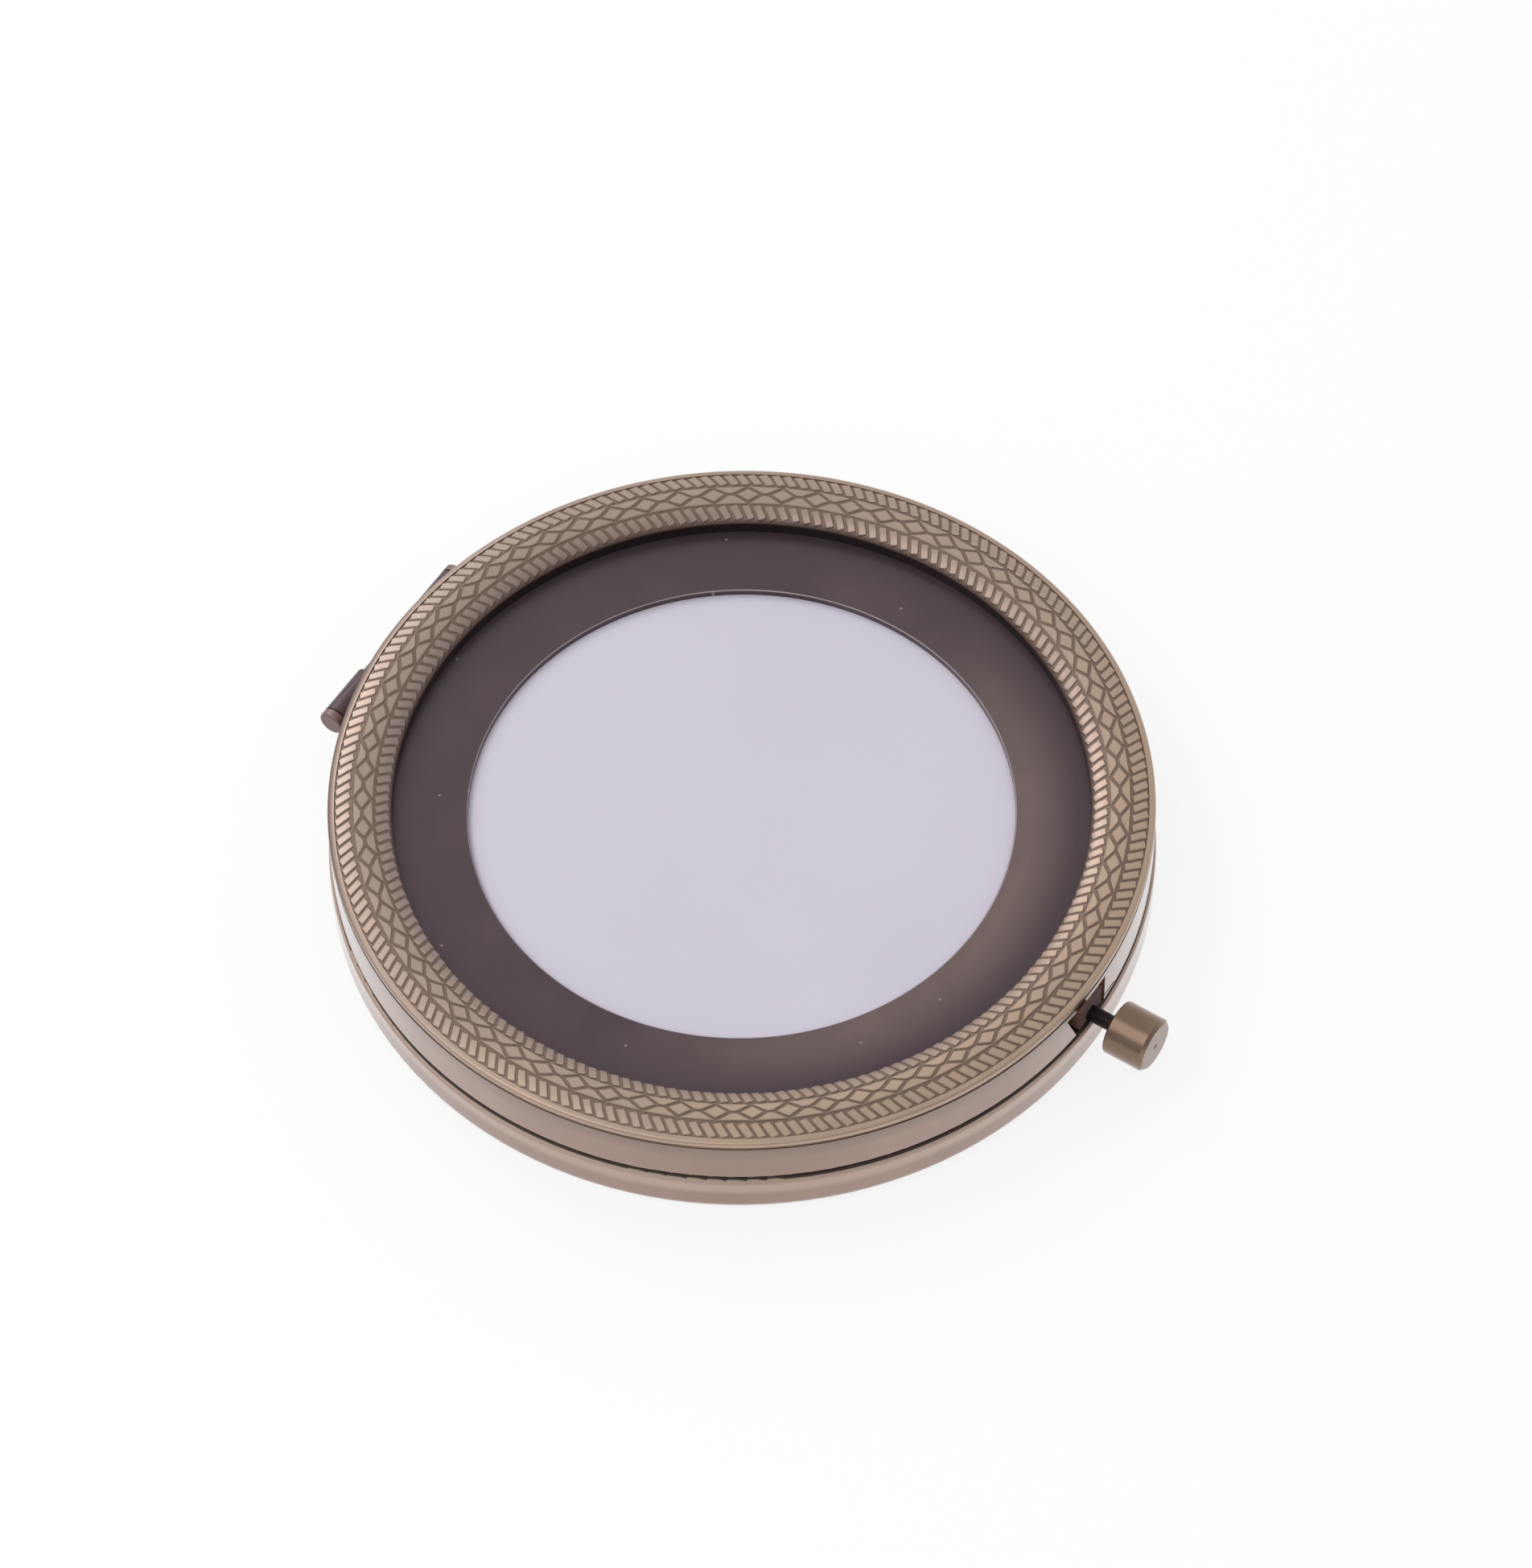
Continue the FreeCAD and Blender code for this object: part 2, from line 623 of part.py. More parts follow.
def hinge_pin_cap():
    """The cap pressed on the pin's right end."""
    body = new_body("hinge_pin_cap")
    hole_radius = size.pin_radius + size.cap_fit
    profile = rectangle(body, "profile", "XZ_Plane", pin_head_start, pin_head_end,
                        hole_radius, size.barrel_radius)
    revolve(body, profile, "H_Axis")
    round_off(body, size.barrel_radius, ALONG_PIN, size.pin_head_round)
    place(body, y=hinge_distance, z=seam_height)


def button_knob():
    """The turned knob, bored for the stem and dimpled at its end."""
    body = new_body("button_knob")
    bore_radius = size.stem_radius + size.stem_fit
    bore_end = stem_end + size.stem_fit
    profile = outline(body, "profile", "XZ_Plane", [
        (bore_radius, knob_inner_end),
        (size.knob_radius, knob_inner_end),
        (size.knob_radius, knob_outer_end - size.knob_bevel),
        (size.knob_radius - size.knob_bevel, knob_outer_end),
        (size.dimple_radius, knob_outer_end),
        (ZERO, knob_outer_end - size.dimple_depth),
        (ZERO, bore_end),
        (bore_radius, bore_end),
    ])
    revolve(body, profile)
    round_off(body, size.knob_radius, DOWN, size.knob_round)
    place(body, z=stem_height, turn=Z_TO_BUTTON)


def button_stem():
    """The stem, with a thinner end that goes through the latch."""
    body = new_body("button_stem")
    profile = outline(body, "profile", "XZ_Plane", [
        (ZERO, latch_back),
        (size.spigot_radius, latch_back),
        (size.spigot_radius, block_front),
        (size.stem_radius, block_front),
        (size.stem_radius, stem_end),
        (ZERO, stem_end),
    ])
    revolve(body, profile)
    place(body, z=stem_height, turn=Z_TO_BUTTON)


def latch_plate():
    """The sliding latch: a plate with two ears, a block in the notch and a foot on the floor."""
    body = new_body("latch_plate")
    plate = outline(body, "plate", "XZ_Plane", [
        (-size.heel_half, foot_bottom),
        (size.heel_half, foot_bottom),
        (size.heel_half, heel_top),
        (size.block_half, heel_top),
        (size.block_half, ear_bottom),
        (size.ear_half, ear_bottom),
        (size.ear_half, ear_top),
        (-size.ear_half, ear_top),
        (-size.ear_half, ear_bottom),
        (-size.block_half, ear_bottom),
        (-size.block_half, heel_top),
        (-size.heel_half, heel_top),
    ])
    extrude(body, "Pad", plate, size.latch_thickness)
    block = rectangle(body, "block", "XZ_Plane", -size.block_half, size.block_half,
                      size.base_height + size.block_clearance, ear_top)
    extrude(body, "Pad", block, block_front - latch_back)
    foot = rectangle(body, "foot", "XZ_Plane", -size.heel_half, size.heel_half, foot_bottom, foot_top)
    extrude(body, "Pad", foot, size.foot_reach, backwards=True)
    hole_radius = size.spigot_radius + size.stem_fit
    hole = circle(body, "hole", "XZ_Plane", ZERO, stem_height, hole_radius)
    cut_into(body, hole, block_front - latch_back + size.overrun, backwards=True)
    place(body, y=-latch_back)


def latch_guide():
    """Two cheeks and a bridge on the base's floor; the latch's foot runs under the bridge."""
    body = new_body("latch_guide")
    plan = outline(body, "plan", "XY_Plane", [
        (-guide_outside_half, -latch_front),
        (-guide_inside_half, -latch_front),
        (-guide_inside_half, -bridge_front),
        (guide_inside_half, -bridge_front),
        (guide_inside_half, -latch_front),
        (guide_outside_half, -latch_front),
        (guide_outside_half, -bridge_back),
        (-guide_outside_half, -bridge_back),
    ])
    extrude(body, "Pad", plan, size.guide_height)
    tunnel = rectangle(body, "tunnel", "XZ_Plane", -guide_inside_half, guide_inside_half,
                       -size.overrun, tunnel_top - size.base_floor)
    cut_into(body, tunnel, past_case, backwards=True)
    place(body, z=size.base_floor)


def latch_spring():
    """A bow of flat spring steel between the latch and the bridge of its guide."""
    body = new_body("latch_spring")
    inner_radius = size.spring_radius - size.spring_thickness
    profile = rectangle(body, "profile", "XZ_Plane", inner_radius, size.spring_radius,
                        ZERO, size.spring_height)
    bow = revolve(body, profile)
    bow_depth = size.spring_room - size.spring_clearance * TWO
    half_cosine = (size.spring_radius - bow_depth) / inner_radius
    bow.setExpression("Angle", f"2 * acos({half_cosine.text})")
    bow.Midplane = True
    doc.recompute()
    middle = size.spring_radius - latch_back + size.spring_clearance
    place(body, y=middle, z=spring_bottom, turn=X_TO_BUTTON)


base_shell()
mirror_tapes()
mirror_glass("base_mirror_glass", pad_top)
base_mirror_frame()
latch_guide()
latch_spring()
hinge_knuckles()
hinge_pin()
hinge_pin_cap()
lid_band()
lid_ring()
lid_tray()
backing_disc()
mirror_glass("lid_mirror_glass", lid_mirror_face)
lid_mirror_frame()
lid_keeper()
button_knob()
button_stem()
latch_plate()

NODES = [
    "base_shell", "base_mirror_tape", "base_mirror_glass", "base_mirror_frame", "latch_guide",
    "latch_spring", "base_knuckle_left", "base_knuckle_right", "hinge_pin", "hinge_pin_cap",
    "lid_band", "lid_ring", "lid_tray", "backing_disc", "lid_mirror_tape", "lid_mirror_glass",
    "lid_mirror_frame", "lid_keeper", "lid_knuckle",
    "button_knob", "button_stem", "latch_plate",
]

doc.recompute()
for item in doc.Objects:
    if "Invalid" in item.State or "Error" in item.State:
        raise RuntimeError(f"{item.Name} failed: {item.State}")
shapes = {label: doc.getObjectsByLabel(label)[0].Shape for label in NODES}
for label, shape in shapes.items():
    if shape.isNull() or not shape.isValid():
        raise RuntimeError(f"{label} has no valid shape")

os.makedirs("parts", exist_ok=True)
for label, shape in shapes.items():
    shape.exportStep(f"parts/{label}.step")
    print(label, len(shape.Solids), round(shape.Volume, 3))
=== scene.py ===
"""The looks of a round compact mirror: the braided ring in full relief, the finishes and a plain studio."""
import math

import bmesh
import bpy
from mathutils import Matrix, Vector, noise


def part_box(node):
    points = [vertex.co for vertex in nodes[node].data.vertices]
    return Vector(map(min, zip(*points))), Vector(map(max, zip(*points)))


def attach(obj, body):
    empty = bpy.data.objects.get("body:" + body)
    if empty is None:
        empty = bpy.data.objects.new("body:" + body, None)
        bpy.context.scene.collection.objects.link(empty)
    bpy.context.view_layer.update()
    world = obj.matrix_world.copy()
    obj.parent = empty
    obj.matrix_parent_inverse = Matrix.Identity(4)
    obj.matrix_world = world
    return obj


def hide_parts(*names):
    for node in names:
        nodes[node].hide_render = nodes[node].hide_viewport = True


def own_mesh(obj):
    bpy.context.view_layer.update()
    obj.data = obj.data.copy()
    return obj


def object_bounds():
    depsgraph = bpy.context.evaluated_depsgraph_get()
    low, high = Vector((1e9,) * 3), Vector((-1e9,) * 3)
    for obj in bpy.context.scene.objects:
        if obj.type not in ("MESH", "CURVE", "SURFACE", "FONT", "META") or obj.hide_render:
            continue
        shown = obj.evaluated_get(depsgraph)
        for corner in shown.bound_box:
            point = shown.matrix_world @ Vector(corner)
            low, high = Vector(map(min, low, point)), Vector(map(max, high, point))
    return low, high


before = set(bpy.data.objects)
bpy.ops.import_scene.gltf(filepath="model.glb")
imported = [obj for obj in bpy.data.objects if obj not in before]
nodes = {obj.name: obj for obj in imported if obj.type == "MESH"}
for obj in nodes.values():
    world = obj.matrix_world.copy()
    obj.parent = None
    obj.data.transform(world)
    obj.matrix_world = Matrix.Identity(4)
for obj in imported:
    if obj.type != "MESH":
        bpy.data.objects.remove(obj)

cad_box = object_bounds()

MM = 0.001
FULL_TURN = 2 * math.pi

# Places on the solids, in millimetres
RING_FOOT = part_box("lid_ring")[0].z / MM
BAND_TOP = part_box("lid_band")[1].z / MM
BAND_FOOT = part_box("lid_band")[0].z / MM
BASE_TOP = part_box("base_shell")[1].z / MM
CASE_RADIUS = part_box("lid_band")[1].x / MM
SKIRT_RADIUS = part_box("lid_tray")[1].x / MM
BLOCK_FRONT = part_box("latch_plate")[0].y / MM

# Stripes of painted highlight and painted shade, in millimetres: the height or radius of the middle, how far
# from there a stripe is full, and how far from there it ends
# A painted highlight along the base's upper wall
WALL_HIGHLIGHT = {"middle": 3.2, "core": 0.3, "end": 1.0}
# Painted shade on the band under the ring
UNDER_RING_SHADE = {"middle": BAND_TOP, "core": 0.1, "end": 1.7}
# A painted highlight on the base's rounded shoulder, which is made matt there
SHOULDER_HIGHLIGHT = {"middle": BASE_TOP - 0.27, "core": 0.06, "end": 0.2}
# Painted shade along the seam between base and lid, which is made matt there
SEAM_SHADE = {"middle": BASE_TOP + 0.05, "core": 0.18, "end": 0.24}
# A painted highlight along the edge of the tray's window
WINDOW_EDGE_HIGHLIGHT = {"middle": 23.26, "core": 0.02, "end": 0.05}

# The cut faces of the latch's notch: how far towards the button they begin, how deep inside the band's
# wall their matt brown starts and is full, and the margin that is kept from the band's edges
NOTCH_DISTANCE = 34.0
NOTCH_FACES_START = 0.03
NOTCH_FACES_FULL = 0.08
NOTCH_MARGIN = 0.1

# The radius to which the tray's painted sheen is full, and the radius where it ends in painted shade by the
# recess's wall; and the rim's painted shade beside the hinge: its heading in degrees and how far out along
# that it starts and is full
SHEEN_FULL_RADIUS = 24.6
SHEEN_END_RADIUS = 28.4
RIM_SHADE_HEADING = 114
RIM_SHADE_START = 27.0
RIM_SHADE_FULL = 34.0

# The ring on the lid, in millimetres
RECESS_RADIUS = 29.6
RECESS_EDGE_HEIGHT = 9.3
RECESS_EDGE_ROUND = 0.4
RIM_INSIDE = 34.6
RIM_START = 34.4
RIM_STEP = 0.05
RIM_HEIGHT = 9.55
RIM_ROUND = 0.3
RIM_CHAMFER = 0.04
SHADOW_RADIUS = 34.9
SHADOW_HEIGHT = 0.3
CROWN_RISE = 0.5

# Fineness of the shapes, and the angles in degrees from which their edges are sharp
EDGE_POINTS = 5
FIRST_EDGE_POINT = 0.3
FLOOR_STEPS = 24
RIM_ARC_STEPS = 6
RING_STEPS = 288
SHARP_ANGLE = 50
FLAT_TOP_ANGLE = 30

# What the ring's relief attribute says of a place
# The recess's wall, painted nearly black as shade
SHADED_WALL = -1.0
GROOVE = 0.0
UNDERCUT = 0.5
BLOCK_TOP = 1.0
RIM = 2.0

# The braid on the ring, in millimetres and degrees: three rows of raised blocks with engraved lines
# between them
GROOVE_DEPTH = 0.12
BLOCK_FOOT = 0.06
BLOCK_ROUND = 0.08
BAR_END_TILT = 16
HAND_CUT = 0.06
HAND_CUT_SPAN = 1.3
HAND_CUT_SEED = 5
OUTER_ROW = {"inside": 33.0, "outside": 34.44, "count": 207, "slant": 32, "share": 0.69}
INNER_ROW = {"inside": 29.64, "outside": 31.03, "count": 190, "slant": 26, "share": 0.69}
DIAMOND_ROW = {"inside": 31.15, "outside": 32.88, "count": 67}
DIAMOND_WIDTH = 2.02
DIAMOND_HEIGHT = 1.25
CROSSING = 0.2
LEFT_LINE = 0.28
RIGHT_LINE = 0.24

# The bow spring behind the latch, in millimetres
SPRING_RADIUS = 3.3
SPRING_THICKNESS = 0.2
SPRING_STEPS = 24

# The studio: angles in degrees, lengths in metres, and brightness where 1 is white
CAMERA_HEADING = -145.7
CAMERA_ELEVATION = 54.63
CAMERA_ROLL = -1.2
CAMERA_DISTANCE = 0.65
BACKDROP_TURN = -165
FLOOR_SIZE = 2.0
FLOOR_GAP = 0.02 * MM
FLOOR_GLOW = 0.82
SKY_IN_FRONT = 0.42
SKY_BEHIND = 0.82


def linear(colour):
    """The linear colour of an sRGB hex code."""
    channels = [int(colour[start:start + 2], 16) / 255 for start in (1, 3, 5)]
    return tuple(c / 12.92 if c <= 0.04045 else ((c + 0.055) / 1.055) ** 2.4 for c in channels) + (1.0,)


def new_material(name):
    """A material with nothing in it but its shader, and the shader's own node."""
    material = bpy.data.materials.new(name)
    material.use_nodes = True
    return material, material.node_tree, material.node_tree.nodes["Principled BSDF"]


def add(tree, kind, values=None, links=None, **settings):
    """Adds a shader node with its settings, its sockets' values and the outputs that feed it."""
    made = tree.nodes.new("ShaderNode" + kind)
    for name, setting in settings.items():
        setattr(made, name, setting)
    for socket, value in (values or {}).items():
        made.inputs[socket].default_value = value
    for socket, output in (links or {}).items():
        tree.links.new(output, made.inputs[socket])
    return made


def sheen_towards_button(tree, place, start, end, cloud_size):
    """A painted sheen, in clouds: a mask that grows towards the button, standing in for light from that side.
    """
    split = add(tree, "SeparateXYZ", links={0: place})
    side = add(tree, "MapRange", {"From Min": start * MM, "From Max": end * MM},
               {"Value": split.outputs["Y"]})
    clouds = add(tree, "TexNoise", {"Scale": 1 / (cloud_size * MM), "Detail": 4.0, "Roughness": 0.6},
                 {"Vector": place})
    drift = add(tree, "MapRange", {"To Min": -0.5, "To Max": 0.5}, {"Value": clouds.outputs["Fac"]})
    painted_sheen = add(tree, "Math", links={0: side.outputs[0], 1: drift.outputs[0]}, operation="ADD",
               use_clamp=True)
    return painted_sheen.outputs[0]


def stripe(tree, value, middle, core, end):
    """A mask that is 1 within a core of millimetres on either side of a middle and fades to 0 at its end."""
    offset = add(tree, "Math", {1: middle * MM}, {0: value}, operation="SUBTRACT")
    away = add(tree, "Math", links={0: offset.outputs[0]}, operation="ABSOLUTE")
    mask = add(tree, "MapRange", {"From Min": core * MM, "From Max": end * MM, "To Min": 1.0, "To Max": 0.0},
               {"Value": away.outputs[0]})
    return mask.outputs[0]


def notch_faces(tree, split, distance):
    """A mask for the cut faces of the latch's notch in the lid's band."""
    inward = add(tree, "MapRange", {"From Min": (CASE_RADIUS - NOTCH_FACES_FULL) * MM,
                                    "From Max": (CASE_RADIUS - NOTCH_FACES_START) * MM,
                                    "To Min": 1.0, "To Max": 0.0}, {"Value": distance})
    near = add(tree, "Math", {1: -NOTCH_DISTANCE * MM}, {0: split.outputs["Y"]}, operation="LESS_THAN")
    half_height = (BAND_TOP - BAND_FOOT) / 2 - NOTCH_MARGIN
    level = add(tree, "Math", {1: (BAND_FOOT + BAND_TOP) / 2 * MM, 2: half_height * MM},
                {0: split.outputs["Z"]}, operation="COMPARE")
    notch = add(tree, "Math", links={0: inward.outputs[0], 1: near.outputs[0]}, operation="MULTIPLY")
    notch = add(tree, "Math", links={0: notch.outputs[0], 1: level.outputs[0]}, operation="MULTIPLY")
    return notch.outputs[0]


def aged_brass(name, light, dark, roughness, lacquer, case_side=False, metal=0.7):
    """Antique-plated brass under clear lacquer.

    A soft brown metal, cloudy over some millimetres, with very fine lines round it from turning; the
    lacquer whitens it towards its edges. On the side of the case a painted highlight lightens the base's
    wall and its shoulder, and painted shade darkens the band under the ring and the seam between base and
    lid. The cut faces of the latch's notch are a matt brown.
    """
    cloud_size = 9
    # The real lines from turning are finer, and at this spacing they just show
    line_spacing = 0.2
    dull_metal = 0.2
    dull_roughness = 0.35
    material, tree, shader = new_material(name)
    place = add(tree, "TexCoord").outputs["Object"]
    split = add(tree, "SeparateXYZ", links={0: place})
    height = split.outputs["Z"]
    flat = add(tree, "CombineXYZ", links={"X": split.outputs["X"], "Y": split.outputs["Y"]})
    distance = add(tree, "VectorMath", links={0: flat.outputs[0]}, operation="LENGTH").outputs["Value"]
    clouds = add(tree, "TexNoise", {"Scale": 1 / (cloud_size * MM), "Detail": 3.0, "Roughness": 0.55},
                 {"Vector": place})
    tone = add(tree, "MapRange", {"From Min": 0.3, "From Max": 0.7}, {"Value": clouds.outputs["Fac"]})
    colour = add(tree, "Mix", {"A": linear(dark), "B": linear(light)}, {"Factor": tone.outputs[0]},
                 data_type="RGBA")
    turned = add(tree, "CombineXYZ", links={"X": distance, "Z": height})
    lines = add(tree, "TexNoise", {"Scale": 1 / (line_spacing * MM), "Detail": 2.0},
                {"Vector": turned.outputs[0]})
    rough = add(tree, "MapRange", {"To Min": roughness - 0.05, "To Max": roughness + 0.07},
                {"Value": lines.outputs["Fac"]})
    shader.inputs["Metallic"].default_value = metal
    shader.inputs["Coat Weight"].default_value = lacquer
    shader.inputs["Coat Roughness"].default_value = 0.1
    if case_side:
        shoulder = stripe(tree, height, **SHOULDER_HIGHLIGHT)
        seam = stripe(tree, height, **SEAM_SHADE)
        notch = notch_faces(tree, split, distance)
        # Painted highlight on the base's wall and shoulder, painted shade under the ring and in the seam
        layers = (
            ("#b4988a", stripe(tree, height, **WALL_HIGHLIGHT)),
            ("#81695f", stripe(tree, height, **UNDER_RING_SHADE)),
            ("#cdb5a6", shoulder),
            ("#463830", seam),
            ("#a0795d", notch),
        )
        for layer_colour, mask in layers:
            colour = add(tree, "Mix", {"B": linear(layer_colour)},
                         {"Factor": mask, "A": colour.outputs["Result"]}, data_type="RGBA")
        seam_and_notch = add(tree, "Math", links={0: seam, 1: notch}, operation="MAXIMUM")
        dull = add(tree, "Math", links={0: seam_and_notch.outputs[0], 1: shoulder}, operation="MAXIMUM").outputs[0]
        coat = add(tree, "MapRange", {"To Min": lacquer, "To Max": 0.0}, {"Value": dull})
        tree.links.new(coat.outputs[0], shader.inputs["Coat Weight"])
        bare = add(tree, "MapRange", {"To Min": metal, "To Max": dull_metal}, {"Value": dull})
        tree.links.new(bare.outputs[0], shader.inputs["Metallic"])
        rough = add(tree, "Math", {1: dull_roughness}, {0: dull, 2: rough.outputs[0]},
                    operation="MULTIPLY_ADD")
    tree.links.new(colour.outputs["Result"], shader.inputs["Base Color"])
    tree.links.new(rough.outputs[0], shader.inputs["Roughness"])
    bump = add(tree, "Bump", {"Strength": 0.1, "Distance": 0.01 * MM}, {"Height": lines.outputs["Fac"]})
    tree.links.new(bump.outputs[0], shader.inputs["Normal"])
    return material


def braided_brass():
    """Stamped brass, patinated and rubbed back.

    The raised blocks are tan and satin, with a painted sheen that makes them lighter and yellower towards
    the button and a painted reflection of the dark tray that makes the inner slope more violet, and the
    engraved lines keep the brown patina. The recess's wall is painted nearly black as shade, and beside
    the hinge the rim is painted a dull brown as shade.
    """
    cloud_size = 6
    grain_size = 0.25
    tray_reflection_share = 0.85
    groove_roughness, top_roughness = 0.5, 0.36
    lacquer, dim_lacquer = 0.5, 0.05
    material, tree, shader = new_material("stamped_aged_brass")
    place = add(tree, "TexCoord").outputs["Object"]
    relief = add(tree, "Attribute", attribute_name="relief").outputs["Fac"]
    # Painted sheen: the tops grow lighter and yellower towards the button
    painted_sheen = sheen_towards_button(tree, place, CASE_RADIUS, -CASE_RADIUS, cloud_size)
    rubbed = add(tree, "Mix", {"A": linear("#ab978b"), "B": linear("#c0a690")}, {"Factor": painted_sheen},
                 data_type="RGBA")
    # This distance is from the middle of the underside, about 1.4 mm more than the radius on the crown
    distance = add(tree, "VectorMath", links={0: place}, operation="LENGTH")
    # Painted reflection of the dark tray: the inner slope turns violet
    inner = add(tree, "MapRange", {"From Min": RECESS_RADIUS * MM, "From Max": OUTER_ROW["inside"] * MM,
                                   "To Min": tray_reflection_share, "To Max": 0.0},
                {"Value": distance.outputs["Value"]})
    # Painted shade: beside the hinge the rim is darker and nearly without lacquer
    heading = math.radians(RIM_SHADE_HEADING)
    beside = add(tree, "VectorMath", {1: (math.cos(heading), math.sin(heading), 0)}, {0: place},
                 operation="DOT_PRODUCT")
    kept = add(tree, "MapRange", {"From Min": RIM_SHADE_START * MM, "From Max": RIM_SHADE_FULL * MM},
               {"Value": beside.outputs["Value"]})
    rim = add(tree, "MapRange", {"From Min": BLOCK_TOP, "From Max": RIM}, {"Value": relief})
    dim = add(tree, "Math", links={0: kept.outputs[0], 1: rim.outputs[0]}, operation="MULTIPLY").outputs[0]
    for layer_colour, mask in (("#7b6a6d", inner.outputs[0]), ("#78665d", dim)):
        rubbed = add(tree, "Mix", {"B": linear(layer_colour)},
                     {"Factor": mask, "A": rubbed.outputs["Result"]}, data_type="RGBA")
    worn = add(tree, "MapRange", {"From Min": 0.1, "From Max": 0.7}, {"Value": relief})
    colour = add(tree, "Mix", {"A": linear("#816b5d")},
                 {"Factor": worn.outputs[0], "B": rubbed.outputs["Result"]}, data_type="RGBA")
    # Painted shade: the recess's wall is nearly black
    black = add(tree, "MapRange", {"From Min": GROOVE, "From Max": SHADED_WALL}, {"Value": relief})
    colour = add(tree, "Mix", {"B": linear("#3d3032")},
                 {"Factor": black.outputs[0], "A": colour.outputs["Result"]}, data_type="RGBA")
    tree.links.new(colour.outputs["Result"], shader.inputs["Base Color"])
    rough = add(tree, "MapRange", {"To Min": groove_roughness, "To Max": top_roughness},
                {"Value": worn.outputs[0]})
    tree.links.new(rough.outputs[0], shader.inputs["Roughness"])
    grain = add(tree, "TexNoise", {"Scale": 1 / (grain_size * MM), "Detail": 2.0}, {"Vector": place})
    bump = add(tree, "Bump", {"Strength": 0.15, "Distance": 0.02 * MM}, {"Height": grain.outputs["Fac"]})
    tree.links.new(bump.outputs[0], shader.inputs["Normal"])
    coat = add(tree, "MapRange", {"To Min": lacquer, "To Max": dim_lacquer}, {"Value": dim})
    tree.links.new(coat.outputs[0], shader.inputs["Coat Weight"])
    shader.inputs["Metallic"].default_value = 0.8
    shader.inputs["Coat Roughness"].default_value = 0.35
    return material


def blackened_brass(name, light, dark, roughness, dust=0.0, window=False, metal=0.7):
    """Brass with a dark violet-brown patina, satin.

    Nearly one tone, with faint clouds and a few specks of pale dust, and a painted sheen that makes it
    lighter on the button's side. On a plate with a window the sheen reaches round the window only and
    fades into painted shade towards the recess's wall, and a painted highlight runs along its edge.
    """
    cloud_size = 14
    grain_size = 0.3
    # About one cell in sixteen holds a speck of some 0.2 mm, whose radii are given in cells
    dust_cell = 1.8
    clean_share = 0.94
    speck_full, speck_end = 0.04, 0.09
    material, tree, shader = new_material(name)
    place = add(tree, "TexCoord").outputs["Object"]
    flat = add(tree, "VectorMath", {1: (1, 1, 0)}, {0: place}, operation="MULTIPLY")
    distance = add(tree, "VectorMath", links={0: flat.outputs["Vector"]}, operation="LENGTH").outputs["Value"]
    # Painted sheen: lighter towards the button
    painted_sheen = sheen_towards_button(tree, place, start=-2, end=-25, cloud_size=cloud_size)
    if window:
        # The painted sheen fades into painted shade towards the recess's wall
        reach = add(tree, "MapRange", {"From Min": SHEEN_FULL_RADIUS * MM, "From Max": SHEEN_END_RADIUS * MM,
                                       "To Min": 1.0, "To Max": 0.0}, {"Value": distance})
        painted_sheen = add(tree, "Math", links={0: painted_sheen, 1: reach.outputs[0]}, operation="MULTIPLY").outputs[0]
    colour = add(tree, "Mix", {"A": linear(dark), "B": linear(light)}, {"Factor": painted_sheen}, data_type="RGBA")
    cells = add(tree, "TexVoronoi", {"Scale": 1 / (dust_cell * MM)}, {"Vector": place},
                voronoi_dimensions="2D")
    speck = add(tree, "MapRange", {"From Min": speck_full, "From Max": speck_end,
                                   "To Min": dust, "To Max": 0.0}, {"Value": cells.outputs["Distance"]})
    pick = add(tree, "SeparateXYZ", links={0: cells.outputs["Color"]})
    chosen = add(tree, "Math", {1: clean_share}, {0: pick.outputs["X"]}, operation="GREATER_THAN")
    dusty = add(tree, "Math", links={0: speck.outputs[0], 1: chosen.outputs[0]}, operation="MULTIPLY")
    colour = add(tree, "Mix", {"B": linear("#b9b0b0")},
                 {"Factor": dusty.outputs[0], "A": colour.outputs["Result"]}, data_type="RGBA")
    if window:
        # A painted highlight along the window's edge
        bare = stripe(tree, distance, **WINDOW_EDGE_HIGHLIGHT)
        colour = add(tree, "Mix", {"B": linear("#a99fa1")}, {"Factor": bare, "A": colour.outputs["Result"]},
                     data_type="RGBA")
    tree.links.new(colour.outputs["Result"], shader.inputs["Base Color"])
    grain = add(tree, "TexNoise", {"Scale": 1 / (grain_size * MM), "Detail": 2.0}, {"Vector": place})
    rough = add(tree, "MapRange", {"To Min": roughness - 0.06, "To Max": roughness + 0.06},
                {"Value": grain.outputs["Fac"]})
    tree.links.new(rough.outputs[0], shader.inputs["Roughness"])
    shader.inputs["Metallic"].default_value = metal
    return material


